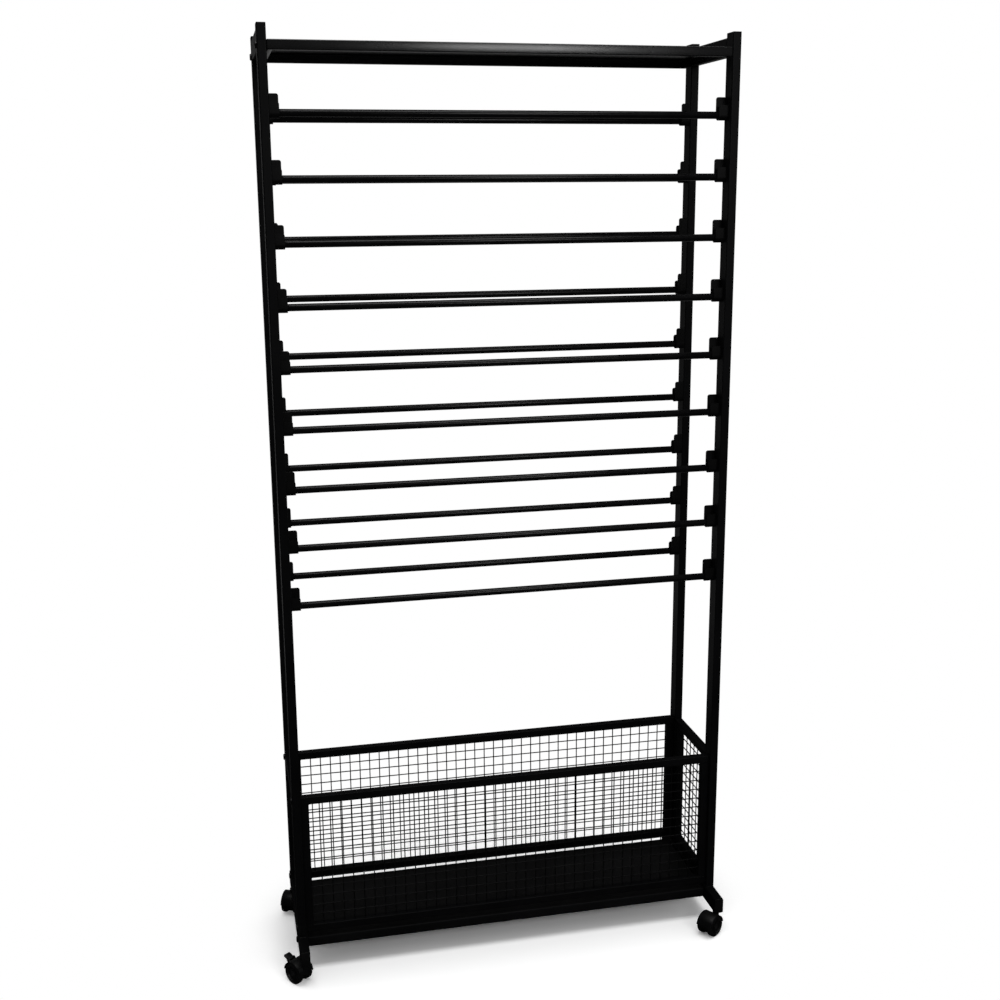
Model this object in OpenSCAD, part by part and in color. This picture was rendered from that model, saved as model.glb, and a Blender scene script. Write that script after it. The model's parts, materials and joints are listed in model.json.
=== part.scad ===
// Rolling ribbon rack. Two tube side frames on casters are joined by a sheet tray at the top
// and a wire basket over a second tray at the bottom. Rods lie across the rack in open cups,
// one set on the front uprights and one on the back uprights, and lift out to be loaded.
// Millimetres. +Z is up, the front faces -Y, and the origin is on the floor under the middle.

/* [Rack] */
// Width over the two side frames
rack_w = 850; // [600:10:1100]
// Depth over the front and back uprights
rack_d = 238; // [210:2:320]
// Height of the upright caps over the floor
rack_h = 1748; // [1640:1:2000]

/* [Frame tube] */
// Narrow side of the upright tube, across the rack
tube_w = 16; // [14:1:18]
// Deep side of the upright tube, front to back
tube_d = 32; // [30:1:44]
// Wall of the upright, top rail and foot rail tubes
tube_wall = 1.5; // [1:0.1:2.5]
// Outside corner radius of these tubes
tube_r = 2; // [1.5:0.1:3]
// How far the top side rails lie under the tops of the uprights
top_rail_drop = 8; // [4:1:14]
// Thickness of a cap over its tube end
cap_t = 2; // [1.5:0.1:4]
// Depth of a cap's plug in its tube
cap_plug = 6; // [4:0.5:12]
// Gap between a cap's plug and the tube around it
cap_clear = 0.1; // [0.05:0.01:0.3]

/* [Foot rails] */
// Width of the foot rail tube, across the rack
foot_w = 18; // [18:1:24]
// Height of the foot rail tube
foot_h = 30; // [28:1:40]
// How far the foot rails stand out past the front uprights
foot_reach = 53; // [48:1:80]
// How far the foot rails stand out past the back uprights
foot_back = 31; // [26:1:80]

/* [Shelf and deck] */
// How far the shelf lies under the tops of the uprights
shelf_drop = 26; // [18:1:60]
// Height of the shelf's lips
shelf_lip = 17; // [15:1:30]
// Height of the deck's lips
deck_lip = 19; // [13:1:22]
// How far the deck's lips stand over the underside of the foot rails
deck_rise = 4; // [2:1:10]
// Thickness of the folded sheet
sheet_t = 1.2; // [0.8:0.1:2]
// Width of the flange turned in under the lips
lip_flange = 9; // [5:1:14]

/* [Basket] */
// Height of the basket panels
basket_h = 282; // [150:2:400]
// Gap between the foot rails and the basket panels
basket_gap = 5; // [1:1:20]
// Side of the square tube in the panel frames
panel_tube = 15; // [11:0.5:15]
// Wall of that tube
panel_wall = 1.2; // [0.8:0.1:1.6]
// Outside corner radius of that tube
panel_r = 1.2; // [0.8:0.1:1.6]
// Threaded length in the ends of the front and back rails
rail_thread = 12; // [11:1:20]
// Gap left for the weld at each end of a stile
weld_gap = 0.05; // [0.02:0.01:0.2]
// Nominal spacing of the mesh wires
mesh_pitch = 20; // [15:1:40]
// Wire diameter
wire_d = 2.2; // [1.5:0.1:3]

/* [Rods] */
// Number of rod levels on each face
levels = 9; // [2:1:9]
// Spacing of the levels
level_pitch = 108.5; // [80:0.5:112]
// Height of the shelf's underside over the first rod's axis
first_drop = 99; // [70:1:140]
// Rod diameter
rod_d = 13; // [10:0.5:14]
// Wall of the rod tube
rod_wall = 1.2; // [0.8:0.1:2]
// Bevel on the ends of the rods
rod_bevel = 0.6; // [0.3:0.1:0.7]
// Gap between the end of a rod and the back of its cup
rod_play = 0.5; // [0.3:0.1:2]

/* [Rod cups] */
// Length of a cup along its rod
cup_len = 17; // [10:1:25]
// Wall of a cup
cup_wall = 2.4; // [1.5:0.1:3]
// Thickness of the plate against the upright
cup_back = 2.5; // [1.5:0.1:4]
// Gap around the rod in its cup
cup_clear = 0.3; // [0.2:0.05:0.6]
// Distance of the rod's axis from the outer face of the upright
cup_inset = 22; // [18:0.5:24]
// Height of the low outer lip over the rod's axis
cup_lip = 17.5; // [10:0.5:24]
// Height of the tall inner ear over the rod's axis
cup_ear = 32; // [26:0.5:40]
// Radius of the upper outer corner of the lip and the ear
cup_corner = 4; // [1:0.5:5]
// Diameter of the peg that holds a cup in its upright
peg_d = 6; // [4:0.5:8]
// Length of the peg behind the cup
peg_len = 4; // [3:0.5:6]
// Height of the peg over the rod's axis
peg_rise = 9; // [6:0.5:12]
// Gap around the peg in its hole
peg_clear = 0.1; // [0.05:0.01:0.3]

/* [Bolts] */
// Bolt diameter
bolt_d = 6; // [4:0.5:6]
// Gap around a bolt in its clearance hole
bolt_clear = 0.25; // [0.1:0.05:0.5]
// Gap around a bolt in its thread
thread_clear = 0.05; // [0.02:0.01:0.1]
// How far a bolt reaches past the tube that it fastens
bolt_reach = 10; // [9:0.5:10.5]
// Diameter of a bolt's head
head_d = 12; // [10:0.5:14]
// Height of a bolt's head
head_h = 3; // [2:0.1:5]
// Width of a nut over its flats
nut_w = 10; // [9:0.5:10.5]
// Height of a nut
nut_h = 5; // [3:0.1:6]
// Distance of the deck's bolts from its front and back lips
deck_bolt_inset = 16; // [12:1:40]

/* [Casters] */
// Wheel diameter
wheel_d = 42; // [36:1:60]
// Width over both wheels
caster_w = 33; // [31:1:45]
// Distance of the axle behind the swivel axis
caster_trail = 20; // [16:0.5:22]
// Gap between the weld nut and the cap's plug in the foot rail
nut_gap = 1; // [0.5:0.5:10]
// Diameter of the stem
stem_d = 8; // [6:0.5:8]
// Diameter of the collar under the foot rail
collar_d = 14; // [12:0.5:18]
// Height of the collar
collar_h = 3; // [3:0.1:4]
// Length of the stem inside the hood
stem_pin = 17; // [14:0.5:18]
// Length of the stem inside the foot rail
stem_grip = 12; // [10:0.5:16]
// Height of the weld nut in the foot rail
weld_nut_h = 8; // [6:0.5:9]
// Diameter of the hood's boss round the stem, and thickness of its web
boss_d = 13; // [13:0.5:16]
// Gap between a wheel and the web
wheel_side_gap = 0.5; // [0.3:0.1:0.8]
// Gap between a wheel's tread and the fender
fender_gap = 1; // [0.8:0.1:2]
// Thickness of the fender
fender_t = 1.5; // [1.2:0.1:2.5]
// Gap between the fender and the foot rail
foot_clear = 1.5; // [1:0.5:10]
// Height of the fender's lower edge over the axle
fender_edge = 3; // [1:0.5:8]
// Height of the web's lower edge over the floor
web_rise = 3; // [2:0.5:8]
// Diameter of the axle
axle_d = 6; // [5:0.5:7]
// Gap between the heads of the axle and the wheels
axle_gap = 0.4; // [0.2:0.1:0.8]
// Depth of the dish in a wheel's outer face
dish_depth = 2.5; // [2:0.1:4]
// Radial running clearance of the stem, the axle and the brake pivot
run_clear = 0.05; // [0.02:0.01:0.1]
// Gap between the hood and the collar
swivel_gap = 0.3; // [0.2:0.05:0.5]
// Width of the brake lever at its pivot
lever_w = 11; // [8:0.5:12]
// Length of the brake tab
tab_len = 14; // [10:0.5:15]
// Rest turn of the front left caster
turn_front_left = 38; // [-180:1:180]
// Rest turn of the front right caster
turn_front_right = 123; // [-180:1:180]
// Rest turn of the back left caster
turn_back_left = 156; // [-180:1:180]
// Rest turn of the back right caster
turn_back_right = -30; // [-180:1:180]

/* [Hidden] */
$fn = 64;
eps = 0.5;

// Heights over the floor
foot_z = wheel_d + fender_gap + fender_t + foot_clear;
foot_top = foot_z + foot_h;
upright_top = rack_h - cap_t;
shelf_top = rack_h - shelf_drop;
shelf_z = shelf_top - shelf_lip;
deck_z = foot_z + deck_rise;
deck_top = deck_z + deck_lip;
basket_z = foot_top + basket_gap;
basket_top = basket_z + basket_h;
rod_z = [for (i = [0:levels - 1]) shelf_z - first_drop - i * level_pitch];

// Places across the rack, towards the right, and towards the back
frame_x = rack_w / 2 - tube_w / 2;
foot_x = rack_w / 2 - foot_w / 2;
inner_x = rack_w / 2 - tube_w;
deck_x = rack_w / 2 - foot_w;
upright_y = rack_d / 2 - tube_d / 2;
inner_y = rack_d / 2 - tube_d;
rod_y = rack_d / 2 - cup_inset;
deck_d = 2 * upright_y + panel_tube;
deck_bolt_y = deck_d / 2 - deck_bolt_inset;
weld_nut_wall = 3;
weld_nut_d = stem_d + 2 * weld_nut_wall;
stem_inset = cap_t + cap_plug + nut_gap + weld_nut_d / 2;

// Bolt heights: shelf, basket top rail, basket bottom rail and deck
shelf_bolt_z = shelf_z + shelf_lip / 2;
basket_bolt_z = [basket_top - panel_tube / 2, basket_z + panel_tube / 2];
deck_bolt_z = deck_z + deck_lip / 2;
upright_bolt_z = concat([shelf_bolt_z], basket_bolt_z);

// Rod and cup radii
rod_r = rod_d / 2;
cup_r = rod_r + cup_clear;
cup_outer_r = cup_r + cup_wall;
rod_len = 2 * (inner_x - cup_back - rod_play);

// Caster radii and places, with the swivel axis at the origin and the wheels trailing towards +Y
wheel_r = wheel_d / 2;
fender_in_r = wheel_r + fender_gap;
fender_r = fender_in_r + fender_t;
wheel_w = (caster_w - boss_d) / 2 - wheel_side_gap;
wheel_x = boss_d / 2 + wheel_side_gap + wheel_w / 2;
wheel_bevel = 1.5;
dish_r = 0.72 * wheel_r;
web_r = wheel_r - web_rise;
hood_top = foot_z - collar_h - swivel_gap;
stem_tip = foot_z - collar_h - stem_pin;
axle_head_step = 2;
axle_head_d = axle_d + 2 * axle_head_step;
axle_head_h = 1.5;
lever_r = 3;
lever_gap = 0.4;
ear_t = 2.4;
ear_r = 3.4;
trunnion_d = 3;
tab_w = 15;
arm_step = 1;
tab_t = 2.4;
tab_rise = 20;
// Angle of the brake pivot over the axle, seen from the side, and its place
pivot_rise = 38;
pivot_out = fender_r + lever_r + lever_gap;
pivot_y = caster_trail + pivot_out * cos(pivot_rise);
pivot_z = wheel_r + pivot_out * sin(pivot_rise);

// Sides, as signs, in the order left then right
LEFT = -1;
RIGHT = 1;
FRONT = -1;
BACK = 1;
CORNERS = [[LEFT, FRONT], [RIGHT, FRONT], [LEFT, BACK], [RIGHT, BACK]];
TURNS = [turn_front_left, turn_front_right, turn_back_left, turn_back_right];

TUBE_BLACK = "#202124";
SHEET_BLACK = "#26272a";
WIRE_BLACK = "#17181a";
PLASTIC_BLACK = "#2b2b2d";
BOLT_BLACK = "#333437";

// Shared shapes

// Rectangle with round corners, centred
module round_rect(a, b, r) {
    square([a - 2 * r, b], center = true);
    square([a, b - 2 * r], center = true);
    for (x = [-1, 1], y = [-1, 1])
        translate([x * (a / 2 - r), y * (b / 2 - r)])
            circle(r);
}

// Hollow tube up the Z axis from the origin
module tube(a, b, r, wall, length) {
    linear_extrude(length)
        difference() {
            round_rect(a, b, r);
            square([a - 2 * wall, b - 2 * wall], center = true);
        }
}

// Turns what runs up the Z axis so that it runs along +X
module along_x() {
    rotate([90, 0, 90])
        children();
}

// Turns what runs up the Z axis so that it runs along -Y, with its own Y upwards
module along_y() {
    rotate([90, 0, 0])
        children();
}

// Cylinder along X, centred
module bar_x(d, length) {
    along_x()
        cylinder(d = d, h = length, center = true);
}

// Cap: a plate over a tube end and a plug inside it, standing up from the tube's end
module tube_cap(a, b) {
    linear_extrude(cap_t)
        round_rect(a, b, tube_r);
    plug_gap = tube_wall + cap_clear;
    translate([0, 0, -cap_plug / 2])
        cube([a - 2 * plug_gap, b - 2 * plug_gap, cap_plug + eps], center = true);
}

// Open tray of folded sheet: a top, four lips and a flange turned in under them
module tray(length, depth, lip) {
    pocket = lip - 2 * sheet_t;
    difference() {
        translate([-length / 2, -depth / 2, 0])
            cube([length, depth, lip]);
        translate([0, 0, sheet_t + pocket / 2])
            cube([length - 2 * sheet_t, depth - 2 * sheet_t, pocket], center = true);
        translate([0, 0, sheet_t / 2])
            cube([length - 2 * lip_flange, depth - 2 * lip_flange, sheet_t + 2 * eps], center = true);
    }
}

// Side frames

// Upright with its cup holes in the inner wall and its bolt holes through both
module upright(side, face) {
    color(TUBE_BLACK)
        difference() {
            translate([side * frame_x, face * upright_y, foot_top])
                tube(tube_w, tube_d, tube_r, tube_wall, upright_top - foot_top);
            for (z = upright_bolt_z)
                translate([side * frame_x, face * upright_y, z])
                    bar_x(bolt_d + 2 * bolt_clear, tube_w + 2 * eps);
            for (z = rod_z)
                translate([side * inner_x, face * rod_y, z + peg_rise])
                    bar_x(peg_d + 2 * peg_clear, 2 * tube_wall + 2 * eps);
        }
}

// Top rail between the front and the back upright of one side
module top_rail(side) {
    color(TUBE_BLACK)
        translate([side * frame_x, inner_y, rack_h - top_rail_drop - tube_d / 2])
            along_y()
                tube(tube_w, tube_d, tube_r, tube_wall, 2 * inner_y);
}

// Distances from the middle of the rack to a foot rail's end and to the caster stem near it
function foot_end(face) = rack_d / 2 + (face == FRONT ? foot_reach : foot_back);
function stem_y(face) = foot_end(face) - stem_inset;

// Foot rail with weld nuts for the caster stems and holes for the deck's bolts
module foot_rail(side) {
    back = foot_end(BACK) - cap_t;
    length = back + foot_end(FRONT) - cap_t;
    color(TUBE_BLACK)
        difference() {
            union() {
                translate([side * foot_x, back, foot_z + foot_h / 2])
                    along_y()
                        tube(foot_w, foot_h, tube_r, tube_wall, length);
                for (face = [FRONT, BACK])
                    translate([side * foot_x, face * stem_y(face), foot_z + tube_wall / 2])
                        cylinder(d = weld_nut_d, h = weld_nut_h);
            }
            for (face = [FRONT, BACK]) {
                translate([side * foot_x, face * stem_y(face), foot_z - eps])
                    cylinder(d = stem_d + 2 * thread_clear, h = tube_wall + weld_nut_h + 2 * eps);
                translate([side * foot_x, face * deck_bolt_y, deck_bolt_z])
                    bar_x(bolt_d + 2 * bolt_clear, foot_w + 2 * eps);
            }
        }
}

// Caps on the tops of the uprights
module upright_caps() {
    color(PLASTIC_BLACK)
        for (c = CORNERS)
            translate([c[0] * frame_x, c[1] * upright_y, upright_top])
                tube_cap(tube_w, tube_d);
}

// Caps on the ends of the foot rails
module foot_caps() {
    color(PLASTIC_BLACK)
        for (c = CORNERS)
            translate([c[0] * foot_x, c[1] * (foot_end(c[1]) - cap_t), foot_z + foot_h / 2])
                rotate([-c[1] * 90, 0, 0])
                    tube_cap(foot_w, foot_h);
}

// Trays

// Shelf between the tops of the side frames
module top_shelf() {
    color(SHEET_BLACK)
        difference() {
            translate([0, 0, shelf_z])
                tray(2 * inner_x, rack_d, shelf_lip);
            for (c = CORNERS)
                translate([c[0] * inner_x, c[1] * upright_y, shelf_bolt_z])
                    bar_x(bolt_d + 2 * bolt_clear, 2 * sheet_t + 2 * eps);
        }
}

// Deck between the foot rails, the floor of the basket
module deck() {
    color(SHEET_BLACK)
        difference() {
            translate([0, 0, deck_z])
                tray(2 * deck_x, deck_d, deck_lip);
            for (c = CORNERS)
                translate([c[0] * deck_x, c[1] * deck_bolt_y, deck_bolt_z])
                    bar_x(bolt_d + 2 * bolt_clear, 2 * sheet_t + 2 * eps);
        }
}

// Basket

// Panel rail along X, centred, solid over its threaded ends where it has them
module panel_rail(length, thread) {
    hollow = thread > 0 ? length - 2 * thread : length + 2 * eps;
    difference() {
        along_x()
            translate([0, 0, -length / 2])
                linear_extrude(length)
                    round_rect(panel_tube, panel_tube, panel_r);
        cube([hollow, panel_tube - 2 * panel_wall, panel_tube - 2 * panel_wall], center = true);
        if (thread > 0)
            bar_x(bolt_d + 2 * thread_clear, length + 2 * eps);
    }
}

// Panel frame in the XZ plane: two rails over the whole length and two stiles welded in between
module panel_frame(length, thread) {
    for (z = [panel_tube / 2, basket_h - panel_tube / 2])
        translate([0, 0, z])
            panel_rail(length, thread);
    for (x = [-1, 1])
        translate([x * (length - panel_tube) / 2, 0, panel_tube + weld_gap])
            tube(panel_tube, panel_tube, panel_r, panel_wall, basket_h - 2 * (panel_tube + weld_gap));
}

// Wire mesh in the XZ plane: upright wires behind level wires, welded where they cross
module panel_mesh(length) {
    span_x = length - 2 * panel_tube;
    span_z = basket_h - 2 * panel_tube;
    cells_x = round(span_x / mesh_pitch);
    cells_z = round(span_z / mesh_pitch);
    for (i = [1:cells_x - 1])
        translate([i * span_x / cells_x - span_x / 2, wire_d / 2, panel_tube])
            cylinder(d = wire_d, h = span_z);
    for (i = [1:cells_z - 1])
        translate([0, -wire_d / 2, panel_tube + i * span_z / cells_z])
            bar_x(wire_d, span_x);
}

// Puts a panel drawn in the XZ plane, outside towards -Y, in the front or back of the basket
module on_face(face) {
    translate([0, face * upright_y, basket_z])
        rotate([0, 0, face == FRONT ? 0 : 180])
            children();
}

// Puts such a panel in the left or right side of the basket
module on_side(side) {
    translate([side * frame_x, 0, basket_z])
        rotate([0, 0, side * 90])
            children();
}

module basket_frame_face(face) {
    color(TUBE_BLACK)
        on_face(face)
            panel_frame(2 * inner_x, rail_thread);
}

module basket_frame_side(side) {
    color(TUBE_BLACK)
        on_side(side)
            panel_frame(2 * inner_y, 0);
}

module basket_mesh_face(face) {
    color(WIRE_BLACK)
        on_face(face)
            panel_mesh(2 * inner_x);
}

module basket_mesh_side(side) {
    color(WIRE_BLACK)
        on_side(side)
            panel_mesh(2 * inner_y);
}

// Rods and cups

// Lower half of a cup seen along its rod, with the rod's axis at the origin
module cup_seat() {
    difference() {
        circle(cup_outer_r);
        translate([-cup_outer_r - eps, 0])
            square([2 * (cup_outer_r + eps), cup_outer_r + eps]);
        circle(cup_r);
    }
}

// Plate that closes a cup against its upright
module cup_plate() {
    circle(cup_outer_r);
    translate([-cup_outer_r + cup_wall / 2, 0])
        square([2 * cup_outer_r - cup_wall, cup_lip - cup_wall]);
}

// Lip or ear seen from the front, with its upper outer corner rounded
module cup_arm(height) {
    square([cup_len - cup_corner, height]);
    square([cup_len, height - cup_corner]);
    translate([cup_len - cup_corner, height - cup_corner])
        circle(cup_corner);
}

// Cup with its plate on the plane X = 0, its low lip towards -Y and its peg in the upright
module rod_cup() {
    along_x() {
        linear_extrude(cup_len)
            cup_seat();
        linear_extrude(cup_back)
            cup_plate();
    }
    translate([0, -cup_r, 0])
        along_y()
            linear_extrude(cup_wall)
                cup_arm(cup_lip);
    translate([0, cup_outer_r, 0])
        along_y()
            linear_extrude(cup_wall)
                cup_arm(cup_ear);
    translate([-peg_len / 2 + eps / 2, 0, peg_rise])
        bar_x(peg_d, peg_len + eps);
}

// All the cups on one upright
module rod_cups(side, face) {
    color(PLASTIC_BLACK)
        for (z = rod_z)
            translate([side * inner_x, face * rod_y, z])
                mirror([side == RIGHT ? 1 : 0, 0, 0])
                    mirror([0, face == BACK ? 1 : 0, 0])
                        rod_cup();
}

// Rod tube with bevelled ends, lying in a pair of cups
module rod(face, level) {
    body_len = rod_len - 2 * rod_bevel;
    color(TUBE_BLACK)
        translate([-rod_len / 2, face * rod_y, rod_z[level - 1]])
            along_x()
                difference() {
                    union() {
                        cylinder(r1 = rod_r - rod_bevel, r2 = rod_r, h = rod_bevel);
                        translate([0, 0, rod_bevel])
                            cylinder(r = rod_r, h = body_len);
                        translate([0, 0, rod_bevel + body_len])
                            cylinder(r1 = rod_r, r2 = rod_r - rod_bevel, h = rod_bevel);
                    }
                    translate([0, 0, -eps])
                        cylinder(r = rod_r - rod_wall, h = rod_len + 2 * eps);
                }
}

// Bolts and nuts

// Bolt along -X from the plane X = 0, with its head outside
module bolt(length) {
    translate([-length, 0, 0])
        along_x()
            cylinder(d = bolt_d, h = length + eps);
    along_x()
        cylinder(d1 = head_d, d2 = head_d - head_h, h = head_h);
}

// Places a bolt for the left or right side, with its head on the outer face of the frame
module bolt_at(side, y, z, length) {
    translate([side * rack_w / 2, y, z])
        mirror([side == LEFT ? 1 : 0, 0, 0])
            bolt(length);
}

module frame_bolts() {
    color(BOLT_BLACK)
        for (c = CORNERS) {
            for (z = upright_bolt_z)
                bolt_at(c[0], c[1] * upright_y, z, tube_w + bolt_reach);
            bolt_at(c[0], c[1] * deck_bolt_y, deck_bolt_z, foot_w + bolt_reach);
        }
}

// Hexagon nut along +X from the plane X = 0, with flats above and below
module nut() {
    along_x()
        difference() {
            cylinder(d = nut_w / cos(30), h = nut_h, $fn = 6);
            translate([0, 0, -eps])
                cylinder(r = bolt_d / 2 + thread_clear, h = nut_h + 2 * eps);
        }
}

// Nuts behind the end lips of the shelf and the deck
module frame_nuts() {
    color(BOLT_BLACK)
        for (c = CORNERS) {
            translate([c[0] * (inner_x - sheet_t), c[1] * upright_y, shelf_bolt_z])
                mirror([c[0] == RIGHT ? 1 : 0, 0, 0])
                    nut();
            translate([c[0] * (deck_x - sheet_t), c[1] * deck_bolt_y, deck_bolt_z])
                mirror([c[0] == RIGHT ? 1 : 0, 0, 0])
                    nut();
        }
}

// Casters

// Puts what is drawn on the swivel axis under one end of a foot rail, at its rest turn
module at_caster(corner) {
    side = CORNERS[corner][0];
    face = CORNERS[corner][1];
    translate([side * foot_x, face * stem_y(face), 0])
        rotate([0, 0, TURNS[corner]])
            children();
}

// Stems: a pin in the hood, a collar under the foot rail and a stud in its weld nut
module caster_stems() {
    color(BOLT_BLACK)
        for (corner = [0:3])
            at_caster(corner) {
                translate([0, 0, stem_tip])
                    cylinder(d = stem_d, h = stem_pin + collar_h + stem_grip);
                translate([0, 0, foot_z - collar_h])
                    cylinder(d = collar_d, h = collar_h);
            }
}

// Ear that carries one end of the brake lever, on the fender
module brake_ear() {
    translate([0, pivot_y, pivot_z])
        bar_x(2 * ear_r, ear_t);
    translate([0, caster_trail, wheel_r])
        rotate([pivot_rise, 0, 0])
            translate([-ear_t / 2, fender_in_r + fender_t / 2, -ear_r])
                cube([ear_t, pivot_out - fender_in_r - fender_t / 2, 2 * ear_r]);
}

// Hood: a boss on the stem, a round web that carries the axle and a fender over both wheels
module hood(braked) {
    ear_x = lever_w / 2 + lever_gap + ear_t / 2;
    difference() {
        union() {
            translate([0, 0, wheel_r])
                cylinder(d = boss_d, h = hood_top - wheel_r);
            translate([0, caster_trail, wheel_r])
                bar_x(2 * web_r, boss_d);
            difference() {
                translate([0, caster_trail, wheel_r])
                    bar_x(2 * fender_r, caster_w);
                for (x = [-1, 1])
                    translate([x * (boss_d + caster_w) / 4 + x * eps / 2, caster_trail, wheel_r])
                        bar_x(2 * fender_in_r, (caster_w - boss_d) / 2 + eps);
                translate([-caster_w, caster_trail - 2 * fender_r, wheel_r + fender_edge - 2 * fender_r])
                    cube([2 * caster_w, 4 * fender_r, 2 * fender_r]);
            }
            if (braked)
                for (x = [-1, 1])
                    translate([x * ear_x, 0, 0])
                        brake_ear();
        }
        translate([0, 0, stem_tip - eps])
            cylinder(r = stem_d / 2 + run_clear, h = hood_top - stem_tip + 2 * eps);
        translate([0, caster_trail, wheel_r])
            bar_x(axle_d + 2 * run_clear, boss_d + 2 * eps);
        if (braked)
            translate([0, pivot_y, pivot_z])
                bar_x(trunnion_d + 2 * run_clear, 2 * (ear_x + ear_t));
    }
}

module caster_hood(corner, braked) {
    color(PLASTIC_BLACK)
        at_caster(corner)
            hood(braked);
}

// Axle with a head in the dish of each wheel
module caster_axle(corner) {
    head_x = caster_w / 2 - dish_depth + axle_gap;
    color(BOLT_BLACK)
        at_caster(corner)
            translate([0, caster_trail, wheel_r]) {
                bar_x(axle_d, 2 * head_x + eps);
                for (x = [-1, 1])
                    translate([x * (head_x + axle_head_h / 2), 0, 0])
                        bar_x(axle_head_d, axle_head_h);
            }
}

// Wheel about Z, centred, its dished face upwards
module wheel() {
    half = wheel_w / 2;
    bore_r = axle_d / 2 + run_clear;
    rotate_extrude()
        polygon([
            [bore_r, -half],
            [wheel_r - wheel_bevel, -half],
            [wheel_r, wheel_bevel - half],
            [wheel_r, half - wheel_bevel],
            [wheel_r - wheel_bevel, half],
            [dish_r, half],
            [dish_r - dish_depth / 2, half - dish_depth],
            [bore_r, half - dish_depth]
        ]);
}

// Pair of wheels on one axle
module caster_wheels(corner) {
    color(PLASTIC_BLACK)
        at_caster(corner)
            translate([0, caster_trail, wheel_r])
                for (x = [-1, 1])
                    translate([x * wheel_x, 0, 0])
                        rotate([0, x * 90, 0])
                            wheel();
}

// Tab of the brake lever from above: a narrow arm at the hub and a wide pad past the ears
module tab_outline() {
    arm_w = lever_w - 2 * arm_step;
    pad_y = ear_r + lever_gap;
    translate([-arm_w / 2, lever_r / 3])
        square([arm_w, tab_len - lever_r / 3]);
    translate([-tab_w / 2, pad_y])
        square([tab_w, tab_len - pad_y]);
}

// Brake lever: a hub on its own trunnions and a tab to step on
module brake_lever(corner) {
    color(PLASTIC_BLACK)
        at_caster(corner)
            translate([0, pivot_y, pivot_z]) {
                bar_x(2 * lever_r, lever_w);
                bar_x(trunnion_d, lever_w + 2 * (lever_gap + ear_t));
                rotate([tab_rise, 0, 0])
                    translate([0, 0, -tab_t / 4])
                        linear_extrude(tab_t)
                            tab_outline();
            }
}

upright(LEFT, FRONT);  // upright_front_left
upright(RIGHT, FRONT);  // upright_front_right
upright(LEFT, BACK);  // upright_back_left
upright(RIGHT, BACK);  // upright_back_right
top_rail(LEFT);  // top_rail_left
top_rail(RIGHT);  // top_rail_right
foot_rail(LEFT);  // foot_rail_left
foot_rail(RIGHT);  // foot_rail_right
upright_caps();
foot_caps();
top_shelf();
deck();
basket_frame_face(FRONT);  // basket_frame_front
basket_frame_face(BACK);  // basket_frame_back
basket_frame_side(LEFT);  // basket_frame_left
basket_frame_side(RIGHT);  // basket_frame_right
basket_mesh_face(FRONT);  // basket_mesh_front
basket_mesh_face(BACK);  // basket_mesh_back
basket_mesh_side(LEFT);  // basket_mesh_left
basket_mesh_side(RIGHT);  // basket_mesh_right
rod_cups(LEFT, FRONT);  // rod_cups_front_left
rod_cups(RIGHT, FRONT);  // rod_cups_front_right
rod_cups(LEFT, BACK);  // rod_cups_back_left
rod_cups(RIGHT, BACK);  // rod_cups_back_right
for (i = [1:levels]) rod(FRONT, i);
for (i = [1:levels]) rod(BACK, i);
frame_bolts();
frame_nuts();
caster_stems();
caster_hood(0, true);  // caster_hood_front_left
caster_hood(1, false);  // caster_hood_front_right
caster_hood(2, false);  // caster_hood_back_left
caster_hood(3, true);  // caster_hood_back_right
caster_axle(0);  // caster_axle_front_left
caster_axle(1);  // caster_axle_front_right
caster_axle(2);  // caster_axle_back_left
caster_axle(3);  // caster_axle_back_right
caster_wheels(0);  // caster_wheels_front_left
caster_wheels(1);  // caster_wheels_front_right
caster_wheels(2);  // caster_wheels_back_left
caster_wheels(3);  // caster_wheels_back_right
brake_lever(0);  // brake_lever_front_left
brake_lever(3);  // brake_lever_back_right
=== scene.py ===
"""Looks of a rolling ribbon rack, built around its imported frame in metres, front towards -Y."""
import json
import math

import bpy
from mathutils import Matrix, Vector


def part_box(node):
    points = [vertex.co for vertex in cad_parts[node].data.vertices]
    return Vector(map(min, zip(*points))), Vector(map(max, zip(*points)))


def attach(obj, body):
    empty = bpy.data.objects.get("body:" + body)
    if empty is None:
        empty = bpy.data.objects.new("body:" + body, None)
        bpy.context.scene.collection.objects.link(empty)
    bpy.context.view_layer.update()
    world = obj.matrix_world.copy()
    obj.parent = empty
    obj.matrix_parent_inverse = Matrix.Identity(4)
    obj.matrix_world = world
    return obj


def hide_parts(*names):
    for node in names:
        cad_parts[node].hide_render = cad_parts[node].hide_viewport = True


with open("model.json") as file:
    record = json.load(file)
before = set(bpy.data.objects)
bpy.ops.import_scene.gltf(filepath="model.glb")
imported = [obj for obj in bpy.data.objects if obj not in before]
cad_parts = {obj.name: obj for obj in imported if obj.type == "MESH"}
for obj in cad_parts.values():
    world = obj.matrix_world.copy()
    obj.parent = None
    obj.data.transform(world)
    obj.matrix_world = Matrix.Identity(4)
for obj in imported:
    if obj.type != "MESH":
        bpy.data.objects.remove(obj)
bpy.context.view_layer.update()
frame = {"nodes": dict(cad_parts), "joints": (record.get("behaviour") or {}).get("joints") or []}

# Foot rails: the rack stands on two lengths of rectangular steel tube, cut square at the ends.
# They are powder coated, as every steel piece is: a satin black film with a fine orange peel
# and faint patches where it is thicker.
TUBE_SHADES = [(0.0012, 0.0012, 0.0014), (0.0024, 0.0024, 0.0027)]
SIDES = ["left", "right"]


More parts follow.
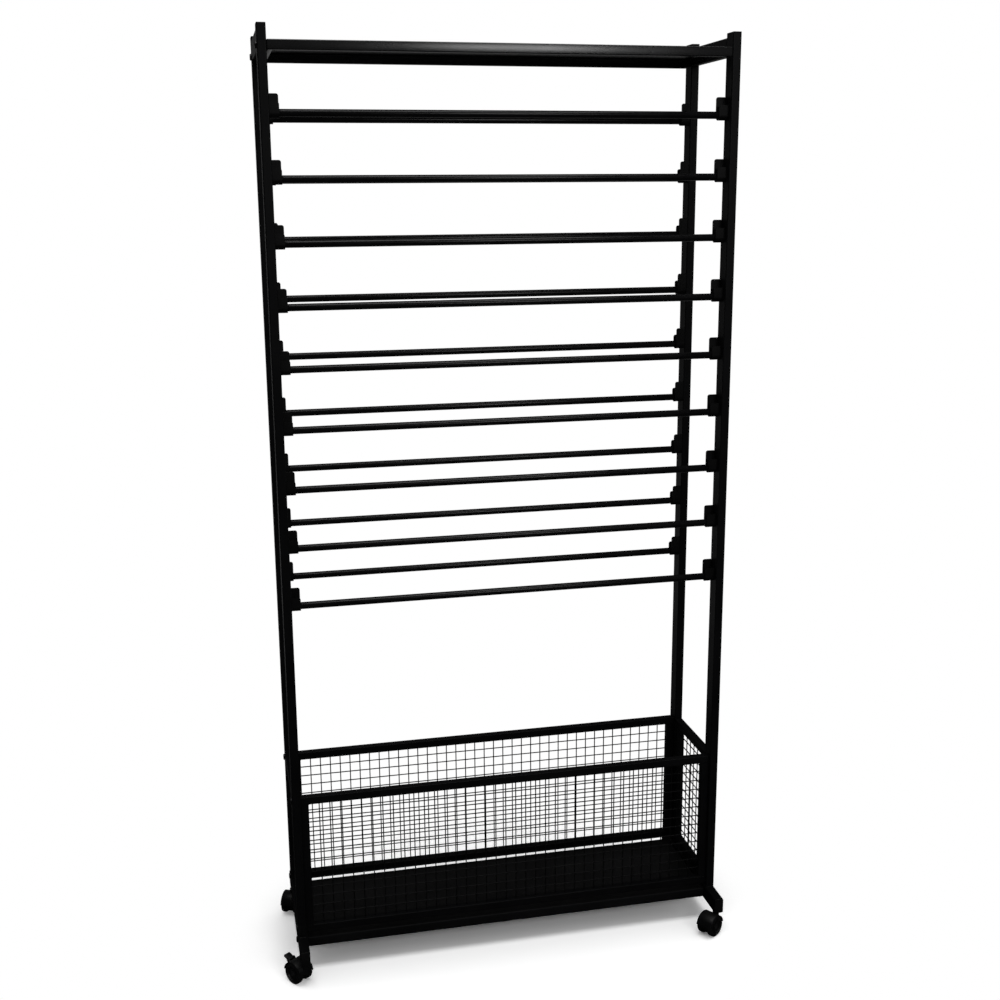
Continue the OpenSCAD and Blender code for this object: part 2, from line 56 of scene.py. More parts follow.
def shader_group(name, inputs, outputs):
    """Empty shader node group with the given sockets, and its two end nodes."""
    group = bpy.data.node_groups.new(name, "ShaderNodeTree")
    for label, kind, value in inputs:
        socket = group.interface.new_socket(label, in_out="INPUT", socket_type=kind)
        if value is not None:
            socket.default_value = value
    for label, kind in outputs:
        group.interface.new_socket(label, in_out="OUTPUT", socket_type=kind)
    return group, group.nodes.new("NodeGroupInput"), group.nodes.new("NodeGroupOutput")


def make_coat_grain():
    """Fine peel height and broad patches of a sprayed or moulded skin."""
    group, start, end = shader_group(
        "coat_grain",
        [
            ("Position", "NodeSocketVector", None),
            ("Peel Scale", "NodeSocketFloat", 600.0),
            ("Patch Scale", "NodeSocketFloat", 9.0),
        ],
        [("Height", "NodeSocketFloat"), ("Patch", "NodeSocketFloat")],
    )
    peel = group.nodes.new("ShaderNodeTexNoise")
    peel.inputs["Detail"].default_value = 2.0
    patch = group.nodes.new("ShaderNodeTexNoise")
    patch.inputs["Detail"].default_value = 4.0
    patch.inputs["Roughness"].default_value = 0.6
    spread = group.nodes.new("ShaderNodeMapRange")
    spread.inputs["From Min"].default_value = 0.3
    spread.inputs["From Max"].default_value = 0.7
    links = group.links
    links.new(start.outputs["Position"], peel.inputs["Vector"])
    links.new(start.outputs["Position"], patch.inputs["Vector"])
    links.new(start.outputs["Peel Scale"], peel.inputs["Scale"])
    links.new(start.outputs["Patch Scale"], patch.inputs["Scale"])
    links.new(patch.outputs["Fac"], spread.inputs["Value"])
    links.new(peel.outputs["Fac"], end.inputs["Height"])
    links.new(spread.outputs["Result"], end.inputs["Patch"])
    return group


coat_grain = make_coat_grain()


def grained_finish(name, shades, roughness, peel, patch_scale=9.0, specular=0.1):
    """Finish whose colour and roughness run between two close values in patches, over a fine peel.

    The peel has a scale per metre and a height in metres.
    """
    peel_scale, peel_height = peel
    finish = bpy.data.materials.new(name)
    finish.use_nodes = True
    tree = finish.node_tree
    shader = tree.nodes["Principled BSDF"]
    shader.inputs["Specular IOR Level"].default_value = specular
    place = tree.nodes.new("ShaderNodeTexCoord")
    grain = tree.nodes.new("ShaderNodeGroup")
    grain.node_tree = coat_grain
    grain.inputs["Peel Scale"].default_value = peel_scale
    grain.inputs["Patch Scale"].default_value = patch_scale
    colour = tree.nodes.new("ShaderNodeMix")
    colour.name = "Shade"
    colour.data_type = "RGBA"
    colour.inputs["A"].default_value = (*shades[0], 1.0)
    colour.inputs["B"].default_value = (*shades[1], 1.0)
    gloss = tree.nodes.new("ShaderNodeMapRange")
    gloss.name = "Gloss"
    gloss.inputs["To Min"].default_value = roughness[0]
    gloss.inputs["To Max"].default_value = roughness[1]
    bump = tree.nodes.new("ShaderNodeBump")
    bump.inputs["Strength"].default_value = 1.0
    bump.inputs["Distance"].default_value = peel_height
    links = tree.links
    links.new(place.outputs["Object"], grain.inputs["Position"])
    links.new(grain.outputs["Patch"], colour.inputs["Factor"])
    links.new(grain.outputs["Patch"], gloss.inputs["Value"])
    links.new(grain.outputs["Height"], bump.inputs["Height"])
    links.new(colour.outputs["Result"], shader.inputs["Base Color"])
    links.new(gloss.outputs["Result"], shader.inputs["Roughness"])
    links.new(bump.outputs["Normal"], shader.inputs["Normal"])
    return finish


def dress(node, finish):
    """Gives a frame node its finish."""
    mesh = frame["nodes"][node].data
    mesh.materials.clear()
    mesh.materials.append(finish)


tube_coat = grained_finish(
    "tube_powder_coat", TUBE_SHADES, roughness=(0.38, 0.48), peel=(700.0, 0.00005), specular=0.07)
for side in SIDES:
    dress(f"foot_rail_{side}", tube_coat)

# Uprights and top rails: two upright tubes stand on each foot rail, with a short rail between
# their tops. Short fillet welds hold them, run across the joints before the coat goes on.
CORNERS = ["front_left", "front_right", "back_left", "back_right"]
WELD_R = 0.0016
WELD_LEN = 0.0135
WELD_SIDES = 10
WELD_RIPPLES = 9
WELD_DIP = 0.82


def pick(piece, kind, test):
    """Opens a piece in edit mode and selects only edges or faces whose corners pass a test."""
    if bpy.context.mode == "EDIT_MESH":
        close_edit()
    bpy.ops.object.select_all(action="DESELECT")
    piece.select_set(True)
    bpy.context.view_layer.objects.active = piece
    bpy.ops.object.mode_set(mode="EDIT")
    bpy.ops.mesh.select_mode(type=kind)
    bpy.ops.mesh.select_all(action="DESELECT")
    bpy.ops.object.mode_set(mode="OBJECT")
    places = [v.co.copy() for v in piece.data.vertices]
    for part in piece.data.edges if kind == "EDGE" else piece.data.polygons:
        part.select = test([places[i] for i in part.vertices])
    bpy.ops.object.mode_set(mode="EDIT")


def close_edit():
    """Leaves edit mode."""
    bpy.ops.object.mode_set(mode="OBJECT")


def push(x, y, z):
    """Extrudes what is selected by a step."""
    bpy.ops.mesh.extrude_region_move(TRANSFORM_OT_translate={"value": (x, y, z)})


def round_bar(radius, length, centre=(0, 0, 0), sides=32, along="X"):
    """Cylinder along an axis, the only selected object, with its place in its mesh."""
    bpy.ops.object.select_all(action="DESELECT")
    turns = {"X": (0, math.pi / 2, 0), "Y": (-math.pi / 2, 0, 0), "Z": (0, 0, 0)}
    bpy.ops.mesh.primitive_cylinder_add(
        vertices=sides, radius=radius, depth=length, location=centre, rotation=turns[along])
    bpy.ops.object.transform_apply(location=True, rotation=True, scale=True)
    return bpy.context.object


def join(pieces):
    """Joins pieces into the first of them."""
    bpy.ops.object.select_all(action="DESELECT")
    for piece in pieces:
        piece.select_set(True)
    bpy.context.view_layer.objects.active = pieces[0]
    if len(pieces) > 1:
        bpy.ops.object.join()
    return bpy.context.object


def copies(piece, places):
    """Copies of a piece at the given matrices, each with its own mesh. Uses the piece up."""
    made = []
    for place in places:
        twin = piece.copy()
        twin.data = piece.data.copy()
        twin.data.transform(place)
        if place.determinant() < 0:
            twin.data.flip_normals()
        bpy.context.scene.collection.objects.link(twin)
        made.append(twin)
    bpy.data.objects.remove(piece)
    return made


def fit(piece, name, body, stands_for, finish, smooth=35.0):
    """Names a finished piece, gives it its finish and fixes it to the body that carries it."""
    piece.name = name
    piece.data.name = name
    piece.data.materials.clear()
    piece.data.materials.append(finish)
    bpy.ops.object.select_all(action="DESELECT")
    piece.select_set(True)
    bpy.context.view_layer.objects.active = piece
    bpy.ops.object.shade_smooth_by_angle(angle=math.radians(smooth))
    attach(piece, body)
    if stands_for:
        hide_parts(*stands_for)
    return piece


def weld_bead():
    """Rippled bead along X, centred."""
    bead = round_bar(WELD_R, WELD_LEN, sides=WELD_SIDES)
    pick(bead, "EDGE", lambda ends: abs(ends[0].x - ends[1].x) > WELD_LEN / 2)
    bpy.ops.mesh.subdivide(number_cuts=2 * WELD_RIPPLES - 1)
    step = WELD_LEN / (2 * WELD_RIPPLES)
    pick(bead, "EDGE", lambda ends: all(round((e.x + WELD_LEN / 2) / step) % 2 == 0 for e in ends))
    bpy.ops.transform.resize(value=(1, WELD_DIP, WELD_DIP), center_override=(0, 0, 0))
    close_edit()
    return bead


for corner in CORNERS:
    dress(f"upright_{corner}", tube_coat)
for side in SIDES:
    dress(f"top_rail_{side}", tube_coat)

upright_low, upright_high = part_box("upright_back_right")
upright_mid = (upright_low + upright_high) / 2
upright_size = upright_high - upright_low
rail_low, rail_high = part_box("top_rail_right")
weld_places = []
for x in (-1, 1):
    for y in (-1, 1):
        outer = Vector((x * upright_mid.x, y * upright_high.y, upright_low.z))
        inner = Vector((x * upright_mid.x, y * upright_low.y, upright_low.z))
        over_rail = Vector((x * upright_mid.x, y * upright_low.y, rail_high.z))
        under_rail = Vector((x * upright_mid.x, y * upright_low.y, rail_low.z))
        weld_places += [Matrix.Translation(p) for p in (outer, inner, over_rail, under_rail)]
frame_welds = join(copies(weld_bead(), weld_places))
fit(frame_welds, "frame_welds", "rack", [], tube_coat, smooth=60.0)

# End caps: moulded plastic plates with a soft edge, each pushed into the open end of an upright
# or a foot rail on a plug.
CAP_PLATE = 0.002
CAP_PLUG = 0.006
CAP_PLUG_GAP = 0.0016
CAP_CORNER = 0.002
CAP_EDGE = 0.0008
TINY = 0.00005
PLASTIC_SHADES = [(0.0014, 0.0014, 0.0015), (0.0028, 0.0028, 0.0029)]
fitting_plastic = grained_finish(
    "fitting_plastic", PLASTIC_SHADES, roughness=(0.44, 0.56), peel=(1800.0, 0.00003),
    patch_scale=30.0)


def block(size, centre):
    """Box of the given size, the only selected object, with its size and place in its mesh."""
    bpy.ops.object.select_all(action="DESELECT")
    bpy.ops.mesh.primitive_cube_add(size=1.0, location=centre)
    piece = bpy.context.object
    piece.scale = size
    bpy.ops.object.transform_apply(location=True, rotation=True, scale=True)
    return piece


def end_cap(width, depth):
    """Cap that faces +Z, with the underside of its plate on the plane z = 0."""
    cap = block((width, depth, CAP_PLATE), (0, 0, CAP_PLATE / 2))
    pick(cap, "EDGE", lambda ends: abs(ends[0].z - ends[1].z) > CAP_PLATE / 2)
    bpy.ops.mesh.bevel(offset=CAP_CORNER, segments=4)
    pick(cap, "FACE", lambda corners: all(c.z > CAP_PLATE - TINY for c in corners))
    bpy.ops.mesh.bevel(offset=CAP_EDGE, segments=3)
    pick(cap, "FACE", lambda corners: all(c.z < TINY for c in corners))
    bpy.ops.mesh.inset(thickness=CAP_PLUG_GAP)
    push(0, 0, -CAP_PLUG)
    close_edit()
    return cap


upright_cap_places = [
    Matrix.Translation((x * upright_mid.x, y * upright_mid.y, upright_high.z))
    for x in (-1, 1) for y in (-1, 1)
]
upright_caps = join(copies(end_cap(upright_size.x, upright_size.y), upright_cap_places))
fit(upright_caps, "upright_end_caps", "rack", ["upright_caps"], fitting_plastic)

foot_low, foot_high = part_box("foot_rail_right")
foot_mid = (foot_low + foot_high) / 2
foot_size = foot_high - foot_low
foot_cap_places = [
    Matrix.Translation((x * foot_mid.x, end_y, foot_mid.z)) @ Matrix.Rotation(turn, 4, "X")
    for x in (-1, 1) for end_y, turn in ((foot_low.y, math.pi / 2), (foot_high.y, -math.pi / 2))
]
foot_caps = join(copies(end_cap(foot_size.x, foot_size.z), foot_cap_places))
fit(foot_caps, "foot_end_caps", "rack", ["foot_caps"], fitting_plastic)

# Shelf and deck: two trays folded from steel sheet, with lips turned down all round and a narrow
# flange turned in under them. The bends have a small radius, and fine dust lies on the flats.
SHEET = 0.0012
BEND = 0.0018
LIP_FLANGE = 0.009
SHEET_SHADES = [(0.0013, 0.0013, 0.0015), (0.0026, 0.0026, 0.003)]
DUST_SHADE = (0.02, 0.0196, 0.0188)


def make_dust_film():
    """Mask of dust that settles on what faces upwards, thicker in patches."""
    group, start, end = shader_group(
        "dust_film",
        [
            ("Position", "NodeSocketVector", None),
            ("Normal", "NodeSocketVector", None),
            ("Patch Scale", "NodeSocketFloat", 14.0),
            ("Amount", "NodeSocketFloat", 0.3),
        ],
        [("Dust", "NodeSocketFloat")],
    )
    way = group.nodes.new("ShaderNodeSeparateXYZ")
    up = group.nodes.new("ShaderNodeMapRange")
    up.inputs["From Min"].default_value = 0.6
    up.inputs["From Max"].default_value = 1.0
    drift = group.nodes.new("ShaderNodeTexNoise")
    drift.inputs["Detail"].default_value = 6.0
    drift.inputs["Roughness"].default_value = 0.7
    lie = group.nodes.new("ShaderNodeMath")
    lie.operation = "MULTIPLY"
    measure = group.nodes.new("ShaderNodeMath")
    measure.operation = "MULTIPLY"
    links = group.links
    links.new(start.outputs["Normal"], way.inputs["Vector"])
    links.new(way.outputs["Z"], up.inputs["Value"])
    links.new(start.outputs["Position"], drift.inputs["Vector"])
    links.new(start.outputs["Patch Scale"], drift.inputs["Scale"])
    links.new(up.outputs["Result"], lie.inputs[0])
    links.new(drift.outputs["Fac"], lie.inputs[1])
    links.new(lie.outputs["Value"], measure.inputs[0])
    links.new(start.outputs["Amount"], measure.inputs[1])
    links.new(measure.outputs["Value"], end.inputs["Dust"])
    return group


dust_film = make_dust_film()


def add_dust(finish, amount, patch_scale):
    """Lays dust over a grained finish."""
    tree = finish.node_tree
    shader = tree.nodes["Principled BSDF"]
    place = tree.nodes.new("ShaderNodeTexCoord")
    surface = tree.nodes.new("ShaderNodeNewGeometry")
    dust = tree.nodes.new("ShaderNodeGroup")
    dust.node_tree = dust_film
    dust.inputs["Amount"].default_value = amount
    dust.inputs["Patch Scale"].default_value = patch_scale
    cover = tree.nodes.new("ShaderNodeMix")
    cover.data_type = "RGBA"
    cover.inputs["B"].default_value = (*DUST_SHADE, 1.0)
    dull = tree.nodes.new("ShaderNodeMath")
    dull.operation = "ADD"
    links = tree.links
    links.new(place.outputs["Object"], dust.inputs["Position"])
    links.new(surface.outputs["Normal"], dust.inputs["Normal"])
    links.new(dust.outputs["Dust"], cover.inputs["Factor"])
    links.new(tree.nodes["Shade"].outputs["Result"], cover.inputs["A"])
    links.new(cover.outputs["Result"], shader.inputs["Base Color"])
    links.new(tree.nodes["Gloss"].outputs["Result"], dull.inputs[0])
    links.new(dust.outputs["Dust"], dull.inputs[1])
    links.new(dull.outputs["Value"], shader.inputs["Roughness"])


shelf_coat = grained_finish(
    "shelf_powder_coat", SHEET_SHADES, roughness=(0.24, 0.3), peel=(620.0, 0.00004),
    patch_scale=6.0, specular=0.5)
add_dust(shelf_coat, amount=0.2, patch_scale=14.0)
deck_coat = grained_finish(
    "deck_powder_coat", SHEET_SHADES, roughness=(0.5, 0.62), peel=(620.0, 0.00005),
    patch_scale=6.0, specular=0.08)
add_dust(deck_coat, amount=0.3, patch_scale=14.0)


def apply_all(piece):
    """Applies every modifier of a piece, in order."""
    bpy.ops.object.select_all(action="DESELECT")
    piece.select_set(True)
    bpy.context.view_layer.objects.active = piece
    for name in [m.name for m in piece.modifiers]:
        bpy.ops.object.modifier_apply(modifier=name)


def round_edges(piece, width, segments=2, angle=40.0):
    """Rounds every edge that turns by more than an angle."""
    bevel = piece.modifiers.new("round", "BEVEL")
    bevel.width = width
    bevel.segments = segments
    bevel.limit_method = "ANGLE"
    bevel.angle_limit = math.radians(angle)
    apply_all(piece)


def folded_tray(low, high):
    """Tray of folded sheet in the given box, open underneath."""
    size = high - low
    mid = (low + high) / 2
    tray = block(size, mid)
    pick(tray, "FACE", lambda corners: all(c.z < mid.z for c in corners))
    bpy.ops.mesh.delete(type="ONLY_FACE")
    pick(tray, "EDGE", lambda ends: all(e.z < mid.z for e in ends))
    bpy.ops.mesh.extrude_edges_move()
    inwards = (1 - 2 * LIP_FLANGE / size.x, 1 - 2 * LIP_FLANGE / size.y, 1)
    bpy.ops.transform.resize(value=inwards, center_override=(mid.x, mid.y, low.z))
    close_edit()
    round_edges(tray, BEND, segments=4)
    gauge = tray.modifiers.new("gauge", "SOLIDIFY")
    gauge.thickness = SHEET
    gauge.offset = -1.0
    gauge.use_even_offset = True
    apply_all(tray)
    return tray


shelf_low, shelf_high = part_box("top_shelf")
shelf_tray = folded_tray(shelf_low, shelf_high)
fit(shelf_tray, "shelf_tray", "rack", ["top_shelf"], shelf_coat)
deck_low, deck_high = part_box("deck")
deck_tray = folded_tray(deck_low, deck_high)
fit(deck_tray, "deck_tray", "rack", ["deck"], deck_coat)

# Basket: four welded frames of small square tube between the uprights, each filled with a mesh of
# level wires on the outside and upright wires behind them, spot welded where they cross.
WIRE_PITCH = 0.02
WIRE_SIDES = 10
SPOT_R = 0.0013
CORNER_WELD = 0.95
WIRE_SHADES = [(0.0012, 0.0012, 0.0013), (0.0022, 0.0022, 0.0024)]
wire_coat = grained_finish(
    "wire_powder_coat", WIRE_SHADES, roughness=(0.38, 0.48), peel=(900.0, 0.00004),
    patch_scale=12.0)


def repeat(piece, count, step):
    """Turns a piece into a row, a fixed step apart."""
    row = piece.modifiers.new("row", "ARRAY")
    row.count = count
    row.use_relative_offset = False
    row.use_constant_offset = True
    row.constant_offset_displace = step
    apply_all(piece)


def wire_mesh(width, height, wire):
    """Mesh in the XZ plane, centred, with its level wires towards -Y."""
    columns = math.floor(width / WIRE_PITCH + 0.5)
    rows = math.floor(height / WIRE_PITCH + 0.5)
    step_x = width / columns
    step_z = height / rows
    first_x = step_x - width / 2
    first_z = step_z - height / 2
    upright_wires = round_bar(wire / 2, height, (first_x, wire / 2, 0), WIRE_SIDES, "Z")
    repeat(upright_wires, columns - 1, (step_x, 0, 0))
    level_wires = round_bar(wire / 2, width, (0, -wire / 2, first_z), WIRE_SIDES, "X")
    repeat(level_wires, rows - 1, (0, 0, step_z))
    bpy.ops.object.select_all(action="DESELECT")
    bpy.ops.mesh.primitive_ico_sphere_add(
        subdivisions=1, radius=SPOT_R, location=(first_x, 0, first_z))
    bpy.ops.object.transform_apply(location=True, rotation=True, scale=True)
    spots = bpy.context.object
    repeat(spots, columns - 1, (step_x, 0, 0))
    repeat(spots, rows - 1, (0, 0, step_z))
    return join([upright_wires, level_wires, spots])


across_tube = Matrix.Rotation(math.pi / 2, 4, "Z") @ Matrix.Scale(CORNER_WELD, 4)
corner_welds = []
for panel, turn in (("front", 0), ("back", 180), ("left", -90), ("right", 90)):
    dress(f"basket_frame_{panel}", tube_coat)
    low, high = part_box(f"basket_mesh_{panel}")
    size = high - low
    width = max(size.x, size.y)
    wires = wire_mesh(width, size.z, min(size.x, size.y) / 2)
    in_panel = Matrix.Translation((low + high) / 2) @ Matrix.Rotation(math.radians(turn), 4, "Z")
    wires.data.transform(in_panel)
    corner_welds += [
        in_panel @ Matrix.Translation((x * width / 2, 0, z * size.z / 2)) @ across_tube
        for x in (-1, 1) for z in (-1, 1)
    ]
    fit(wires, f"basket_wires_{panel}", "rack", [f"basket_mesh_{panel}"],
        wire_coat, smooth=50.0)
basket_welds = join(copies(weld_bead(), corner_welds))
fit(basket_welds, "basket_welds", "rack", [], tube_coat, smooth=60.0)

# Rod cups: moulded plastic hooks on the inner faces of the uprights, nine to a tube. Each has a
# round seat, a low lip outside, a tall ear inside, a back plate and a peg in the tube.
CUP_R = 0.0068
CUP_WALL = 0.0024
CUP_LEN = 0.017
SEAT_STEPS = 18
CUP_BACK = 0.0025
CUP_LIP = 0.0175
CUP_EAR = 0.032
CUP_CORNER = 0.004
CUP_EDGE = 0.0006
PEG_R = 0.003
PEG_LEN = 0.004
PEG_RISE = 0.009
PEG_SIDES = 20
CUP_SIDES = 36
LEVELS = 9


def combine(piece, tool, operation):
    """Joins a tool shape to a piece or cuts it out of it, and uses the tool up."""
    step = piece.modifiers.new("combine", "BOOLEAN")
    step.operation = operation
    step.solver = "EXACT"
    step.object = tool
    apply_all(piece)
    bpy.data.objects.remove(tool)


def rod_cup():
    """Cup for a rod along X through the origin.

    Its back is on the plane x = 0 and its lip towards -Y.
    """
    wall_y = CUP_R + CUP_WALL / 2
    bpy.ops.object.select_all(action="DESELECT")
    bpy.ops.mesh.primitive_plane_add(size=1.0, location=(CUP_LEN / 2, -wall_y, 0))
    cup = bpy.context.object
    cup.scale = (CUP_LEN, CUP_WALL, 1)
    bpy.ops.object.transform_apply(location=True, rotation=True, scale=True)
    pick(cup, "FACE", lambda corners: True)
    bpy.ops.mesh.spin(steps=SEAT_STEPS, angle=-math.pi, center=(0, 0, 0), axis=(1, 0, 0))
    close_edit()
    for sign, height in ((-1, CUP_LIP), (1, CUP_EAR)):
        pick(cup, "FACE", lambda corners: all(abs(c.z) < TINY and c.y * sign > 0 for c in corners))
        push(0, 0, height)
        pick(cup, "FACE", lambda corners: True)
    bpy.ops.mesh.remove_doubles(threshold=TINY / 10)
    bpy.ops.mesh.normals_make_consistent(inside=False)
    pick(cup, "EDGE", lambda ends: all(e.x > CUP_LEN - TINY and e.z > CUP_LIP - TINY for e in ends)
         and abs(ends[0].y - ends[1].y) > CUP_WALL / 2)
    bpy.ops.mesh.bevel(offset=CUP_CORNER, segments=6)
    close_edit()
    plate = round_bar(wall_y, CUP_BACK, (CUP_BACK / 2 + TINY, 0, 0), CUP_SIDES)
    combine(cup, plate, "UNION")
    web_top = CUP_LIP - CUP_WALL / 2
    web = block((CUP_BACK, 2 * wall_y, web_top), (CUP_BACK / 2 + TINY, 0, web_top / 2))
    combine(cup, web, "UNION")
    peg_x = CUP_BACK / 4 - PEG_LEN / 2
    peg = round_bar(PEG_R, PEG_LEN + CUP_BACK / 2, (peg_x, 0, PEG_RISE), PEG_SIDES)
    combine(cup, peg, "UNION")
    round_edges(cup, CUP_EDGE)
    return cup


cup_shape = rod_cup()
for corner in CORNERS:
    face, side = corner.split("_")
    x = 1 if side == "right" else -1
    y = 1 if face == "back" else -1
    places = []
    for level in range(1, LEVELS + 1):
        low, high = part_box(f"rod_{face}_{level}")
        seat = (low + high) / 2
        mirrored = Matrix.Diagonal((-x, -y, 1, 1))
        places.append(Matrix.Translation((x * upright_low.x, seat.y, seat.z)) @ mirrored)
    master = cup_shape.copy()
    master.data = cup_shape.data.copy()
    bpy.context.scene.collection.objects.link(master)
    cups = join(copies(master, places))
    fit(cups, f"cups_{corner}", "rack", [f"rod_cups_{corner}"], fitting_plastic)
bpy.data.objects.remove(cup_shape)

# Rods: steel tubes with bevelled ends, closed by pressed-in discs and finished in a half gloss
# black enamel. Each only lies in its two cups and lifts out to be loaded.
ROD_SIDES = 32
ROD_BEVEL = 0.0006
ROD_WALL = 0.0012
ROD_RECESS = 0.0008
ROD_DISC_RIM = 0.0014
ENAMEL_SHADES = [(0.0012, 0.0012, 0.0014), (0.0022, 0.0022, 0.0025)]
rod_enamel = grained_finish(
    "rod_enamel", ENAMEL_SHADES, roughness=(0.26, 0.34), peel=(500.0, 0.00003),
    patch_scale=16.0, specular=0.2)


def rod(low, high):
    """Rod in the given box."""
    size = high - low
    mid = (low + high) / 2
    bar = round_bar(size.z / 2, size.x, mid, ROD_SIDES)
    for sign in (-1, 1):
        end_x = mid.x + sign * size.x / 2

        def at_end(corners):
            return all(abs(c.x - end_x) < TINY for c in corners)

        pick(bar, "FACE", at_end)
        bpy.ops.mesh.bevel(offset=ROD_BEVEL, segments=2)
        close_edit()
        pick(bar, "FACE", at_end)
        bpy.ops.mesh.inset(thickness=ROD_WALL - ROD_BEVEL)
        push(-sign * 2 * ROD_RECESS, 0, 0)
        bpy.ops.mesh.inset(thickness=ROD_DISC_RIM)
        push(sign * ROD_RECESS, 0, 0)
        close_edit()
    return bar


for face in ("front", "back"):
    for level in range(1, LEVELS + 1):
        node = f"rod_{face}_{level}"
        fit(rod(*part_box(node)), f"{node}_tube", f"{node}_body", [node], rod_enamel)

# Bolts and nuts: black button head screws with a hexagon socket, through the uprights into the
# shelf and the basket rails and through the foot rails into the deck. Nuts sit inside the trays.
BOLT_R = 0.003
HEAD_R = 0.006
HEAD_H = 0.003
HEAD_ROUND = 0.0018
SOCKET_R = 0.0023
SOCKET_DEPTH = 0.0016
HEAD_SIDES = 28
SOCKET_SIDES = 6
BOLT_REACH = 0.01
DECK_BOLT_INSET = 0.016
BOLT_SHADES = [(0.002, 0.002, 0.0021), (0.004, 0.004, 0.0042)]
black_oxide = grained_finish(
    "black_oxide", BOLT_SHADES, roughness=(0.3, 0.42), peel=(1500.0, 0.00002),
    patch_scale=60.0, specular=0.25)
dress("frame_nuts", black_oxide)


def button_bolt(length):
    """Bolt along -X from the plane x = 0, with its head towards +X."""
    bolt = round_bar(HEAD_R, HEAD_H, (HEAD_H / 2, 0, 0), HEAD_SIDES)
    pick(bolt, "FACE", lambda corners: all(c.x > HEAD_H - TINY for c in corners))
    bpy.ops.mesh.bevel(offset=HEAD_ROUND, segments=4)
    pick(bolt, "FACE", lambda corners: all(c.x < TINY for c in corners))
    bpy.ops.mesh.inset(thickness=HEAD_R - BOLT_R)
    push(-length, 0, 0)
    close_edit()
    socket = round_bar(SOCKET_R, 2 * SOCKET_DEPTH, (HEAD_H, 0, 0), SOCKET_SIDES)
    combine(bolt, socket, "DIFFERENCE")
    return bolt


outer_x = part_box("frame_bolts")[1].x - HEAD_H
basket_low, basket_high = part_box("basket_frame_front")
basket_tube = basket_high.y - basket_low.y
upright_bolt_z = [
    (shelf_low.z + shelf_high.z) / 2,
    basket_high.z - basket_tube / 2,
    basket_low.z + basket_tube / 2,
]
facing = {1: Matrix.Identity(4), -1: Matrix.Rotation(math.pi, 4, "Z")}
upright_bolts = [
    Matrix.Translation((x * outer_x, y * upright_mid.y, z)) @ facing[x]
    for x in (-1, 1) for y in (-1, 1) for z in upright_bolt_z
]
deck_bolt_y = deck_high.y - DECK_BOLT_INSET
deck_bolt_z = (deck_low.z + deck_high.z) / 2
deck_bolts = [
    Matrix.Translation((x * outer_x, y * deck_bolt_y, deck_bolt_z)) @ facing[x]
    for x in (-1, 1) for y in (-1, 1)
]
bolts = copies(button_bolt(upright_size.x + BOLT_REACH), upright_bolts)
bolts += copies(button_bolt(foot_size.x + BOLT_REACH), deck_bolts)
fit(join(bolts), "button_bolts", "rack", ["frame_bolts"], black_oxide)

# Caster stems and axles: turned steel pins with a dull black finish. The stems are screwed into
# the foot rails, and each hood swivels on its stem. An axle has a flat head in each wheel's dish.
PIN_SHADES = [(0.003, 0.003, 0.0032), (0.006, 0.006, 0.0063)]
black_pin = grained_finish(
    "black_pin", PIN_SHADES, roughness=(0.3, 0.42), peel=(1500.0, 0.00002),
    patch_scale=60.0, specular=0.25)
dress("caster_stems", black_pin)
for corner in CORNERS:
    dress(f"caster_axle_{corner}", black_pin)

# Caster hoods: one moulding each, with a boss on the stem, a round web between the wheels and a
# fender over both. Two of them also have a pair of ears for the brake lever.
HOOD_SHADES = [(0.0014, 0.0014, 0.0015), (0.0028, 0.0028, 0.003)]
hood_plastic = grained_finish(
    "hood_plastic", HOOD_SHADES, roughness=(0.3, 0.42), peel=(1600.0, 0.00003),
    patch_scale=40.0, specular=0.2)
add_dust(hood_plastic, amount=0.2, patch_scale=60.0)
WHEEL_R = 0.021
CASTER_W = 0.033
TRAIL = 0.02
BOSS_R = 0.0065
FENDER_R = 0.0235
FENDER_T = 0.0015
FENDER_EDGE = 0.003
WEB_R = 0.018
HOOD_TOP = 0.0427
STEM_BORE_R = 0.00405
STEM_TIP = 0.0255
HOOD_EDGE = 0.0008
EAR_R = 0.0034
EAR_T = 0.0024
EAR_X = 0.0071
PIVOT_R = 0.00155
PIVOT_OUT = 0.0269
PIVOT_RISE = math.radians(38)
FENDER_SIDES = 72
WEB_SIDES = 60
BOSS_SIDES = 36
EAR_SIDES = 24
PIVOT_SIDES = 20
BRAKED = ["front_left", "back_right"]
axle = Vector((0, TRAIL, WHEEL_R))
pivot = axle + PIVOT_OUT * Vector((0, math.cos(PIVOT_RISE), math.sin(PIVOT_RISE)))


def at_caster(corner):
    """Matrix from the origin to a caster's swivel axis and rest turn, read from its joints."""
    joints = {j["name"]: j for j in frame["joints"]}
    x, y, _ = joints[f"swivel_{corner}"]["pos_m"]
    across = joints[f"roll_{corner}"]["axis"]
    return Matrix.Translation((x, y, 0)) @ Matrix.Rotation(math.atan2(across[1], across[0]), 4, "Z")


def brake_ear(x):
    """Ear on the fender at one end of the brake lever."""
    ear = round_bar(EAR_R, EAR_T, (x, pivot.y, pivot.z), EAR_SIDES)
    reach = PIVOT_OUT - FENDER_R + FENDER_T / 2
    root = block((EAR_T - 2 * TINY, reach, 2 * EAR_R - 2 * TINY), (0, 0, 0))
    root.data.transform(
        Matrix.Translation((x, axle.y, axle.z))
        @ Matrix.Rotation(PIVOT_RISE, 4, "X")
        @ Matrix.Translation((0, PIVOT_OUT - reach / 2, 0)))
    combine(ear, root, "UNION")
    return ear


